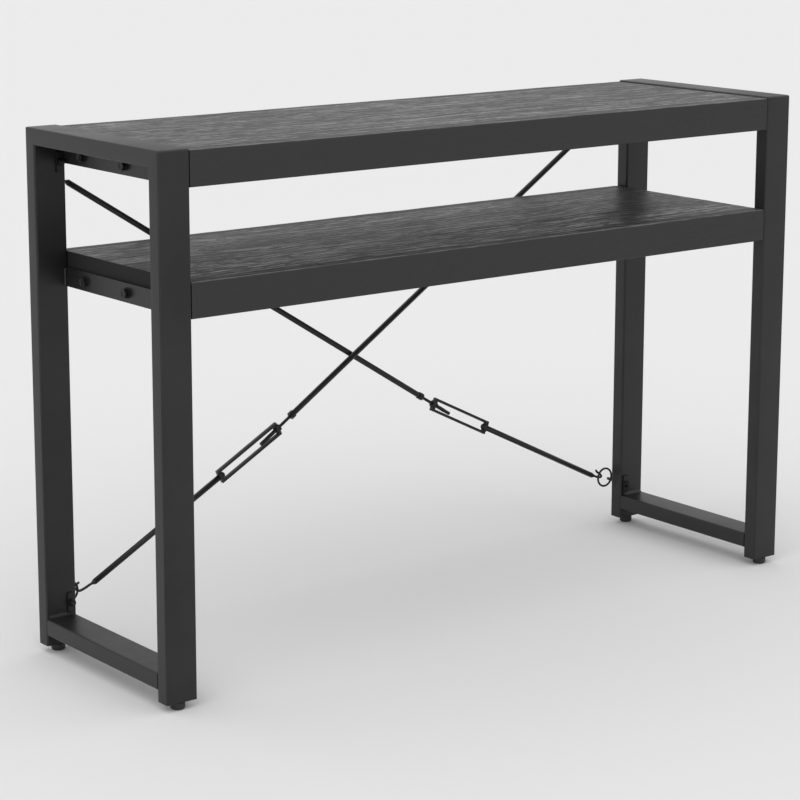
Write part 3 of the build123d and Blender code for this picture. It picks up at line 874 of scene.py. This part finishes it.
def grain_sink(x, y, z, offset):
    """How deep the brushed grain is at a point, 0 to 1."""
    spot = Vector((x * 5.0 + offset, y * 5.0 + offset * 0.7, z * 5.0))
    bend = noise.noise(spot * 0.5) * 0.012
    fine = noise.noise(Vector((x * 16.0 + offset, (y + bend) * 240.0, z * 240.0)))
    wide = noise.noise(Vector((x * 3.0 - offset, (y + bend) * 60.0, z * 60.0)))
    hollow = noise.noise(Vector((x * 1.6 + 2.0 * offset, y * 9.0, z * 9.0)))
    return min(1.0, max(0.0, 0.42 + 0.42 * fine + 0.30 * wide + 0.28 * hollow))


def board(name, node, offset, front_edge=0):
    """A board or edge strip with brushed grain, eased edges and a worn upper outer edge."""
    low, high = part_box(node)
    corner = STRIP_ROUND if front_edge else sizes().board_round
    section = board_section(low, high, corner, TOP_STEP, front_edge)
    stations = np.linspace(low.x, high.x, round((high.x - low.x) / LENGTH_STEP) + 1)
    ring = len(section)
    depth, wander = sizes().grain_depth, sizes().edge_wander
    vertices, faces = [], []
    for x in stations:
        near_end = min(x - low.x, high.x - x)
        worn = noise.noise(Vector((x * 7.0 + offset, offset, 0.3)))
        worn += 0.5 * noise.noise(Vector((x * 31.0 - offset, 1.7, offset)))
        rub = wander * max(0.0, 0.35 + 0.65 * worn)
        for spot, inward, work in section:
            sink = depth * work * grain_sink(x, spot.x, spot.y, offset)
            here = spot + inward * sink
            if front_edge:
                outer = low.y if front_edge == -1 else high.y
                close = max(0.0, 1.0 - abs(here.x - outer) / WORN_REACH) * max(
                    0.0, 1.0 - (high.z - here.y) / WORN_REACH)
                here = here + Vector((-front_edge, -1.0)) * (rub * close * close)
            pull = 0.0004 * work * (near_end < 1e-6)
            vertices.append((x, here.x, here.y - pull))
    for n in range(len(stations) - 1):
        for k in range(ring):
            j = (k + 1) % ring
            a, b = n * ring, (n + 1) * ring
            faces.append((a + k, a + j, b + j, b + k))
    last = (len(stations) - 1) * ring
    faces.append(tuple(range(ring - 1, -1, -1)))
    faces.append(tuple(last + k for k in range(ring)))
    mesh = bpy.data.meshes.new(name)
    mesh.from_pydata(vertices, [], faces)
    work = bmesh.new()
    work.from_mesh(mesh)
    bmesh.ops.recalc_face_normals(work, faces=work.faces)
    work.to_mesh(mesh)
    work.free()
    mesh.shade_smooth()
    mesh.set_sharp_from_angle(angle=math.radians(40))
    return link(name, mesh)


# ---------------------------------------------------------------- operators

class TablePiece:
    bl_options = {"REGISTER", "UNDO"}


class TABLE_OT_end_frames(TablePiece, bpy.types.Operator):
    """Coat the tubes and crossbars of the two end frames"""
    bl_idname = "console_table.end_frames"
    bl_label = "End Frames"

    def execute(self, context):
        for side, _ in SIDES:
            for part in ("front_post", "back_post", "top_rail", "bottom_rail"):
                node = f"{side}_{part}"
                ground = None if part == "bottom_rail" else round_top_corners
                keep(skin(f"{node}_tube", node, smooth_angle=math.radians(30),
                          shape=ground), [node], "frame", finish("frame"))
            for panel in PANELS:
                node = f"{side}_{panel}_crossbar"
                keep(skin(f"{node}_flat", node, 0.0006), [node], "frame",
                     finish("frame"))
        return {"FINISHED"}


class TABLE_OT_welds(TablePiece, bpy.types.Operator):
    """Lay the crossbars' rippled weld beads and the rails' dressed welds"""
    bl_idname = "console_table.welds"
    bl_label = "Weld Beads"

    def fillet(self, work, way, front, height, up, leg=0.0065, steps=8):
        """Adds a dressed hollow weld along X where a rail meets a post's inner face."""
        corner = (CENTRE_Y + front * (HALF_DEPTH - TUBE_DEEP), height)
        section = [(0.0, 0.0)]
        for n in range(steps + 1):
            a = math.pi / 2 * n / steps
            section.append((leg * (1 - math.sin(a)), leg * (1 - math.cos(a))))
        ends = [[work.verts.new((way * x, corner[0] - front * off, corner[1] + up * rise))
                 for off, rise in section] for x in WELD_ENDS]
        count = len(section)
        for n in range(count):
            m = (n + 1) % count
            work.faces.new((ends[0][n], ends[0][m], ends[1][m], ends[1][n]))
        work.faces.new(ends[0])
        work.faces.new(list(reversed(ends[1])))

    def execute(self, context):
        rise = 0.0011                       # bead centre off each of the faces it joins
        for side, way in SIDES:
            lines = []
            dressed = bmesh.new()
            for front in (-1, 1):
                for height, up in ((BOTTOM_RAIL[1], 1), (BOTTOM_RAIL[0], -1),
                                   (TOP_RAIL_UNDER, -1)):
                    self.fillet(dressed, way, front, height, up)
                y = CENTRE_Y + front * (HALF_DEPTH - TUBE_DEEP - rise)
                x = way * (INNER_X + BAR_THICK + rise)
                for panel in PANELS:
                    foot, head = (SURFACES[panel] - drop for drop in BAR_WELD)
                    if panel == "top":
                        head -= TOP_BAR_WELD_SHORTER
                        foot = TOP_BACK_WELD_FOOT if front == 1 else foot
                    lines.append(((x, y, foot), (x, y, head)))
            mesh = bpy.data.meshes.new("bead lines")
            mesh.from_pydata([end for line in lines for end in line],
                             [(2 * n, 2 * n + 1) for n in range(len(lines))], [])
            piece = run_tree(
                link(f"{side}_weld_beads", mesh), tree_named("ripples"),
                Radius=sizes().weld_radius, Pitch=sizes().weld_pitch, Seed=sizes().seed,
                Material=finish("weld"))
            piece.data.shade_smooth()
            join(piece, solid(f"{side} dressed", dressed))
            keep(piece, [f"{side}_frame_welds"], "frame", finish("weld"))
        return {"FINISHED"}


class TABLE_OT_boards(TablePiece, bpy.types.Operator):
    """Make the boards and edge strips of the top and the shelf"""
    bl_idname = "console_table.boards"
    bl_label = "Boards"

    def execute(self, context):
        looks = finishes()
        for p, panel in enumerate(PANELS):
            for n, row in enumerate(ROWS):
                offset = 2.3 + 1.9 * n + 7.1 * p
                node = f"{panel}_plank_{row}"
                low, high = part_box(node)
                wood = board_wood(f"{panel.title()} Board {row.title()}", looks.wood_dark,
                                  looks.wood_light, offset, (0.68, 0.50, 0.60)[n],
                                  edges=(low.y, high.y))
                keep(board(f"{node}_board", node, offset), [node], "frame",
                     wood)
            for edge, way in (("front", -1), ("back", 1)):
                node = f"{panel}_{edge}_lip"
                low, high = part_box(node)
                outer = low.y if way == -1 else high.y
                offset = 31.0 + 5.3 * p + way
                wood = lip_wood(f"{panel.title()} {edge.title()} Strip", looks, offset,
                                (outer, high.z))
                keep(board(f"{node}_strip", node, offset, way), [node], "frame",
                     wood)
        return {"FINISHED"}


class TABLE_OT_battens(TablePiece, bpy.types.Operator):
    """Stain the battens under the top and the shelf"""
    bl_idname = "console_table.battens"
    bl_label = "Battens"

    def execute(self, context):
        for panel in PANELS:
            node = f"{panel}_battens"
            keep(skin(f"{node}_wood", node, 0.0006), [node], "frame",
                 finish("batten"))
        return {"FINISHED"}


class TABLE_OT_fasteners(TablePiece, bpy.types.Operator):
    """Set the hexagon bolts, washers, wood screws and anchor nuts"""
    bl_idname = "console_table.fasteners"
    bl_label = "Bolts, Washers and Screws"

    def execute(self, context):
        heads, screws, nuts = [], [], []
        for panel in PANELS:
            surface = SURFACES[panel]
            for _, way in SIDES:
                for y in BOLT_ROWS:
                    spot = (way * (INNER_X + BAR_THICK), CENTRE_Y + y,
                            surface - PANEL_THICK + BOLT_UP)
                    heads.append((spot, (way, 0, 0)))
            for x in BATTEN_COLUMNS:
                for y in BATTEN_ROWS:
                    screws.append(((x, CENTRE_Y + y, surface - PANEL_THICK), (0, 0, -1)))
        face = CENTRE_Y + HALF_DEPTH - TUBE_DEEP - PLATE_THICK
        for _, way in SIDES:
            for z in (EYE_LOW, EYE_HIGH):
                nuts.append(((way * EYE_X, face, z), (0, -1, 0)))

        hexagon_bolt = self.hexagon_head(flat=0.0065, low=0.0016, high=0.0069, shank=0.024)
        keep(scatter("hexagon_bolts", heads, hexagon_bolt, sizes().head_turn,
                     finish("fastener")),
             ["panel_bolts"], "frame", finish("fastener"))
        washer = self.washer()
        keep(scatter("bolt_washers", heads, washer, 0.0, finish("fastener")),
             ["panel_washers"], "frame", finish("fastener"))
        screw = self.wood_screw()
        keep(scatter("countersunk_screws", screws, screw, math.pi, finish("zinc")),
             ["plank_screws"], "frame", finish("zinc"))
        nut = self.nut()
        keep(scatter("hexagon_nuts", nuts, nut, sizes().head_turn, finish("fastener")),
             ["anchor_nuts"], "frame", finish("fastener"))
        for pattern in (hexagon_bolt, washer, screw, nut):
            bpy.data.objects.remove(pattern)
        return {"FINISHED"}

    def hexagon_ring(self, work, flat, height, chamfered=False, steps=24):
        """A hexagon's outline with points along its flats; flat is from the middle to a flat.

        A chamfered outline drops towards the corners, as if cut by the usual cone."""
        ring = []
        for n in range(steps):
            a = 2 * math.pi * n / steps
            off = (a + math.pi / 6) % (math.pi / 3) - math.pi / 6
            r = flat / math.cos(off)
            drop = max(0.0, r - flat * 0.985) * 0.58 if chamfered else 0.0
            ring.append(work.verts.new((r * math.cos(a), r * math.sin(a), height - drop)))
        return ring

    def round_ring(self, work, radius, height, steps=24):
        return [work.verts.new((radius * math.cos(2 * math.pi * n / steps),
                                radius * math.sin(2 * math.pi * n / steps), height))
                for n in range(steps)]

    def bridge(self, work, rings):
        for low, high in zip(rings, rings[1:]):
            for n in range(len(low)):
                m = (n + 1) % len(low)
                work.faces.new((low[n], low[m], high[m], high[n]))

    def chamfered_side(self, work, flat, low, high):
        """Rings up a hexagon's side, its corners cut back at the top by the usual chamfer."""
        return [self.hexagon_ring(work, flat, low),
                self.hexagon_ring(work, flat, high, chamfered=True),
                self.round_ring(work, flat * 0.95, high)]

    def hexagon_head(self, flat, low, high, shank, radius=0.0039):
        """A forged hexagon bolt: chamfered head, slightly dished top, shank into the wood."""
        work = bmesh.new()
        rings = [self.round_ring(work, radius, -shank), self.round_ring(work, radius, low)]
        rings += self.chamfered_side(work, flat, low, high)
        rings += [self.round_ring(work, flat * 0.80, high - 0.00005),
                  self.round_ring(work, flat * 0.72, high - 0.00035)]
        self.bridge(work, rings)
        work.faces.new(list(reversed(rings[0])))
        work.faces.new(rings[-1])
        return solid("bolt pattern", work)

    def washer(self):
        work = bmesh.new()
        profile = ((0.0043, 0.0), (0.0078, 0.0), (0.008, 0.0003), (0.008, 0.0013),
                   (0.0077, 0.0016), (0.0043, 0.0016), (0.0043, 0.0))
        rings = [self.round_ring(work, r, z, 36) for r, z in profile[:-1]]
        self.bridge(work, [*rings, rings[0]])
        return solid("washer pattern", work)

    def wood_screw(self):
        """A countersunk head with a cross recess; its shank is inside the batten."""
        work = bmesh.new()
        rings = [self.round_ring(work, 0.002, -0.040), self.round_ring(work, 0.002, -0.0042),
                 self.round_ring(work, 0.0040, -0.0002), self.round_ring(work, 0.0040, 0.0)]
        cross = []
        for n in range(24):
            a = 2 * math.pi * n / 24
            arm = abs(((a + math.pi / 4) % (math.pi / 2)) - math.pi / 4) < 0.2
            r = 0.0024 if arm else 0.0009
            cross.append((r * math.cos(a), r * math.sin(a)))
        rings.append([work.verts.new((x, y, 0.0)) for x, y in cross])
        rings.append([work.verts.new((x * 0.6, y * 0.6, -0.0018)) for x, y in cross])
        self.bridge(work, rings)
        work.faces.new(list(reversed(rings[0])))
        work.faces.new(rings[-1])
        return solid("screw pattern", work)

    def nut(self):
        work = bmesh.new()
        sides = self.chamfered_side(work, 0.005, 0.0, 0.005)
        bore = [self.round_ring(work, 0.0036, 0.005), self.round_ring(work, 0.00306, 0.0045),
                self.round_ring(work, 0.00306, 0.0)]
        self.bridge(work, [*sides, *bore, sides[0]])
        return solid("nut pattern", work)


class TABLE_OT_feet(TablePiece, bpy.types.Operator):
    """Make the levelling feet with their threaded stems and the inserts in the posts"""
    bl_idname = "console_table.feet"
    bl_label = "Levelling Feet"

    def execute(self, context):
        profile = ((0.0, 0.0), (0.0080, 0.0), (0.0086, 0.0002), (0.0103, 0.0018),
                   (0.0105, 0.0023), (0.0105, 0.0092), (0.0103, 0.0099), (0.0096, 0.0104),
                   (0.0064, 0.0106), (0.0060, 0.0110), (0.0060, 0.01195), (0.0, 0.01195))
        for row in ("front", "back"):
            for side, way in SIDES:
                node = f"foot_{row}_{side}"
                low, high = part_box(node)
                y = (low.y + high.y) / 2
                place = Matrix.Translation((way * POST_X, y, 0))
                work = bmesh.new()
                lathe(work, profile, place)
                pad = solid(f"{node}_glide", work)
                stem = threaded(f"{node}_stem", place @ Matrix.Translation((0, 0, 0.0119)),
                                radius=0.00398, length=high.z - 0.0121, pitch=0.00125,
                                depth=sizes().thread_depth, material=finish("glide"))
                keep(pad, [node], BODY_OF_NODE[node], finish("glide"))
                keep(stem, [], BODY_OF_NODE[node], finish("fastener"))
        keep(skin("threaded_inserts", "foot_inserts"), ["foot_inserts"], "frame",
             finish("insert"))
        return {"FINISHED"}


class TABLE_OT_anchors(TablePiece, bpy.types.Operator):
    """Make the eye bolts, their plates and the four rings"""
    bl_idname = "console_table.anchors"
    bl_label = "Eye Bolts and Rings"

    def execute(self, context):
        keep(skin("anchor_plate_pads", "anchor_plates", 0.0005), ["anchor_plates"], "frame",
             finish("brace"))
        work = bmesh.new()
        eye_y = CENTRE_Y + HALF_DEPTH + EYE_BEHIND
        tails = []
        for name, end in BRACE_ENDS.items():
            eye = Vector((end.way * EYE_X, eye_y, end.height))
            across = polar(end.pull).cross(Vector((0, 1, 0)))
            torus(work, axes(eye, across), EYE_RADIUS, EYE_WIRE, 56, 18)
            front = axes(eye, (0, -1, 0))
            lathe(work, ((0.0, 0.0055), (0.0026, 0.0055), (0.003, 0.0075), (0.0058, 0.0080),
                         (0.006, 0.0083), (0.006, 0.0098), (0.003, 0.00995), (0.003, 0.036),
                         (0.0, 0.036)), front, 32)
            tails.append(threaded(
                f"{name} tail", front @ Matrix.Translation((0, 0, 0.0355)), radius=0.003,
                length=0.0105, pitch=0.001, depth=sizes().thread_depth * 0.8,
                material=finish("brace")))
        keep(join(solid("threaded_eye_bolts", work), *tails), ["eye_bolts"], "frame",
             finish("brace"))
        for node in RING_NODES:
            low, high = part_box(node)
            work = bmesh.new()
            torus(work, axes((low + high) / 2, (0, 1, 0)), (high.x - low.x) / 2 - RING_WIRE,
                  RING_WIRE, 96, 18)
            keep(solid(f"{node}_round", work), [node], BODY_OF_NODE[node],
                 finish("brace"))
        return {"FINISHED"}


class TABLE_OT_rods(TablePiece, bpy.types.Operator):
    """Paint the brace rods and the collar nuts, and bend the rods' hooked ends"""
    bl_idname = "console_table.rods"
    bl_label = "Brace Rods and Hooks"

    def execute(self, context):
        for brace in BRACES:
            for end in ("upper", "lower"):
                node = f"{brace}_{end}_rod"
                keep(skin(f"{node}_steel", node, flat=0.0, smooth_angle=math.radians(40)),
                     [node], BODY_OF_NODE[node], finish("brace"))
                node = f"{brace}_{end}_hook"
                keep(self.hook(f"{brace}_{end}"), [node], BODY_OF_NODE[node],
                     finish("brace"))
            node = f"{brace}_collar_nut"
            keep(skin(f"{node}_steel", node, 0.0003), [node], BODY_OF_NODE[node],
                 finish("fastener"))
        return {"FINISHED"}

    def hook(self, name):
        """The rod's end drawn down to wire, bent in one smooth sweep round its ring."""
        end = BRACE_ENDS[name]
        low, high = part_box(f"{name}_ring")
        ring = (low + high) / 2
        r, g = (high.x - low.x) / 2 - RING_WIRE, HOOK_GAP
        start = Vector((end.way * EYE_X + end.rod_end[0], ring.y,
                        end.height + end.rod_end[1]))

        def spot(radial, shift, behind):
            return (ring + polar(end.hook) * radial + polar(end.hook + 90 * end.tail) * shift
                    + Vector((0, behind, 0)))

        first = spot(r + 0.0037, -0.0003, -0.7 * g)
        heading = (first - start).normalized()
        bends = (first, spot(r, 0, -g), spot(r - 0.0036, 0.0016, -0.75 * g),
                 spot(r - 0.0049, 0.0036, 0), spot(r - 0.0038, 0.0055, 0.75 * g),
                 spot(r - 0.0008, 0.0068, g))
        route = [(start, ROD_RADIUS), (start + heading * TAPER_LENGTH, HOOK_WIRE),
                 *((bend, HOOK_WIRE) for bend in bends),
                 (spot(r + 0.0048, 0.0105, 0.9 * g), 0.00185)]
        curve = bpy.data.curves.new(f"{name} route", "CURVE")
        curve.dimensions = "3D"
        curve.bevel_depth, curve.bevel_resolution = 1.0, 8
        curve.resolution_u, curve.use_fill_caps = 10, True
        line = curve.splines.new("BEZIER")
        line.bezier_points.add(len(route) - 1)
        for point, (place, radius) in zip(line.bezier_points, route):
            point.co, point.radius = place, radius
            point.handle_left_type = point.handle_right_type = "AUTO"
        bent = bpy.data.objects.new(f"{name} route", curve)
        bpy.context.scene.collection.objects.link(bent)
        bpy.context.view_layer.update()
        mesh = bpy.data.meshes.new_from_object(
            bent.evaluated_get(bpy.context.evaluated_depsgraph_get()))
        bpy.data.objects.remove(bent)
        work = bmesh.new()
        work.from_mesh(mesh)
        bmesh.ops.remove_doubles(work, verts=work.verts, dist=1e-6)
        return solid(f"{name}_hook_steel", work, math.radians(50))


class TABLE_OT_turnbuckles(TablePiece, bpy.types.Operator):
    """Make the turnbuckles and their tension screws"""
    bl_idname = "console_table.turnbuckles"
    bl_label = "Turnbuckles"

    def execute(self, context):
        for brace in BRACES:
            for part, bevel in (("turnbuckle_bars", 0.0), ("turnbuckle_ends", 0.0005),
                                ("tension_screw", 0.0002)):
                node = f"{brace}_{part}"
                keep(skin(f"{node}_steel", node, bevel), [node], BODY_OF_NODE[node],
                     finish("brace" if part != "tension_screw"
                                           else "fastener"))
        return {"FINISHED"}


class TABLE_OT_studio(TablePiece, bpy.types.Operator):
    """Set up the pale floor, the soft studio light and the camera"""
    bl_idname = "console_table.studio"
    bl_label = "Studio"

    def execute(self, context):
        self.floor()
        self.lights(context)
        self.camera(context)
        return {"FINISHED"}

    def floor(self):
        mesh = bpy.data.meshes.new("studio_floor")
        mesh.from_pydata([(-60, -60, 0), (60, -60, 0), (60, 60, 0), (-60, 60, 0)], [],
                         [(0, 1, 2, 3)])
        plane = link("studio_floor", mesh)
        material, tree, shader, _ = new_material("Studio Floor")
        put(tree, shader.inputs["Base Color"], (*finishes().floor, 1.0))
        shader.inputs["Roughness"].default_value = 1.0
        shader.inputs["Specular IOR Level"].default_value = 0.0
        mesh.materials.append(material)

    def lights(self, context):
        context.scene.view_settings.view_transform = "Standard"
        world = bpy.data.worlds.new("Soft Studio")
        context.scene.world = world
        world.use_nodes = True
        tree = world.node_tree
        tree.nodes.clear()
        out = tree.nodes.new("ShaderNodeOutputWorld")
        where = tree.nodes.new("ShaderNodeTexCoord").outputs["Generated"]
        split = add(tree, "ShaderNodeSeparateXYZ", where)
        left = span(tree, split.outputs[0], 0.6, -0.9)
        sky = mix_colour(tree, left, (0.66, 0.66, 0.66), (0.82, 0.82, 0.82))
        seen = tree.nodes.new("ShaderNodeLightPath").outputs["Is Camera Ray"]
        glow = add(tree, "ShaderNodeBackground", Strength=1.0,
                   Color=mix_colour(tree, seen, sky, (0.83, 0.83, 0.83)))
        put(tree, out.inputs["Surface"], glow)
        for name, power, angle, turn in (
                ("Key", 0.60, 70, (48, 0, -50)), ("Top", 0.95, 120, (8, 0, 20))):
            lamp = bpy.data.lights.new(name, "SUN")
            lamp.energy, lamp.angle = power, math.radians(angle)
            holder = bpy.data.objects.new(name, lamp)
            holder.rotation_euler = [math.radians(a) for a in turn]
            context.scene.collection.objects.link(holder)

    def camera(self, context):
        data = bpy.data.cameras.new("Camera")
        holder = bpy.data.objects.new("Camera", data)
        context.scene.collection.objects.link(holder)
        data.sensor_width, data.lens = 36.0, 111.735
        data.shift_x, data.shift_y = -0.02, -0.08
        data.clip_end = 200.0
        holder.location = (-2.347, -2.934 + CENTRE_Y, 1.189)
        yaw, pitch, roll = (math.radians(a) for a in (38.33, -11.42, -0.17))
        turn = Matrix.Rotation(-yaw, 3, "Z") @ Matrix.Rotation(math.pi / 2 + pitch, 3, "X")
        holder.rotation_euler = (turn @ Matrix.Rotation(-roll, 3, "Z")).to_euler()
        context.scene.camera = holder


OPERATORS = (
    TABLE_OT_studio, TABLE_OT_end_frames, TABLE_OT_welds, TABLE_OT_boards, TABLE_OT_battens,
    TABLE_OT_fasteners, TABLE_OT_feet, TABLE_OT_anchors, TABLE_OT_rods, TABLE_OT_turnbuckles)


class TABLE_PT_panel(bpy.types.Panel):
    """Lists the pieces of the console table"""
    bl_idname = "TABLE_PT_panel"
    bl_label = "Console Table"
    bl_space_type = "VIEW_3D"
    bl_region_type = "UI"
    bl_category = "Console Table"

    def draw(self, context):
        column = self.layout.column()
        for settings in (context.scene.table_sizes, context.scene.table_finishes):
            for name in settings.bl_rna.properties.keys():
                if name not in ("rna_type", "name"):
                    column.prop(settings, name)
        for operator in OPERATORS:
            column.operator(operator.bl_idname)


CLASSES = (TableSizes, TableFinishes, *OPERATORS, TABLE_PT_panel)


def register():
    for cls in CLASSES:
        bpy.utils.register_class(cls)
    bpy.types.Scene.table_sizes = PointerProperty(type=TableSizes)
    bpy.types.Scene.table_finishes = PointerProperty(type=TableFinishes)


def unregister():
    del bpy.types.Scene.table_sizes
    del bpy.types.Scene.table_finishes
    for cls in reversed(CLASSES):
        bpy.utils.unregister_class(cls)


def main():
    register()
    for operator in OPERATORS:
        category, name = operator.bl_idname.split(".")
        getattr(getattr(bpy.ops, category), name)()


if __name__ == "__main__":
    main()
